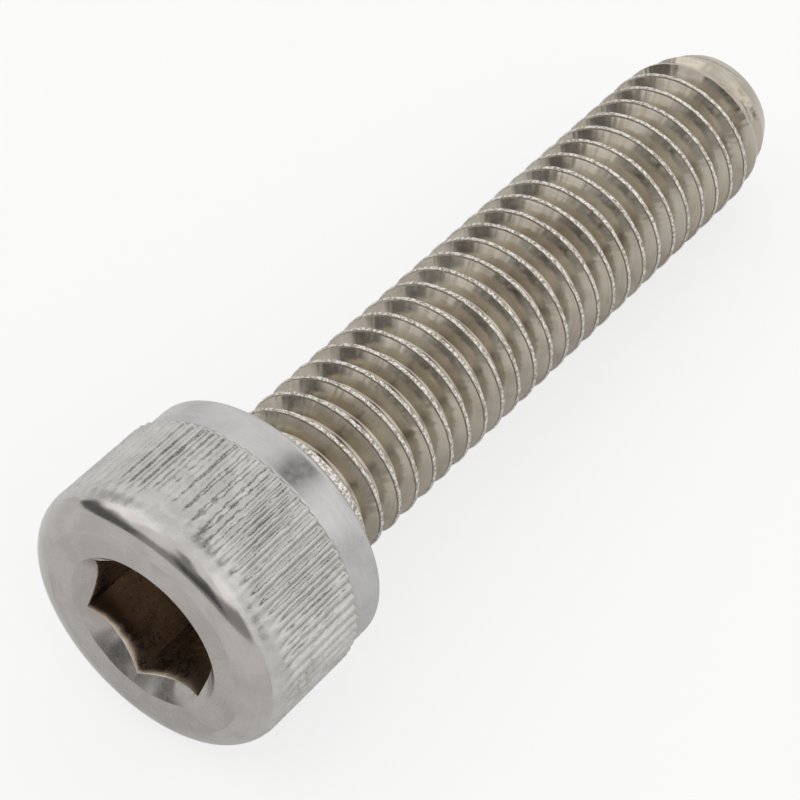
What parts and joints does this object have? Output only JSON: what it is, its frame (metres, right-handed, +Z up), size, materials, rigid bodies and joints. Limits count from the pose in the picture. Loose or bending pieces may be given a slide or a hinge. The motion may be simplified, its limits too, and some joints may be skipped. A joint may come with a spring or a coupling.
{
  "type": "hex socket cap screw",
  "caption": "Cylindrical-head cap screw with a knurled head, a hexagon socket and a fully threaded shank with a rounded tip, lying on its side.",
  "frame": {"origin": "centre of the footprint of the lying screw, on the floor it rests on", "axes": "+X runs along the screw from head to tip, level with the floor; +Z is up. The screw's own axis leans down towards the tip by 4.41 degrees, because the head is wider than the shank."},
  "size_m": [0.0434, 0.013, 0.0133],
  "materials": {
    "stainless_steel": "satin, turned and rolled stainless steel, worn bright on the edges"
  },
  "bodies": {
    "root": {"cap_screw": "stainless_steel"}
  },
  "joints": []
}
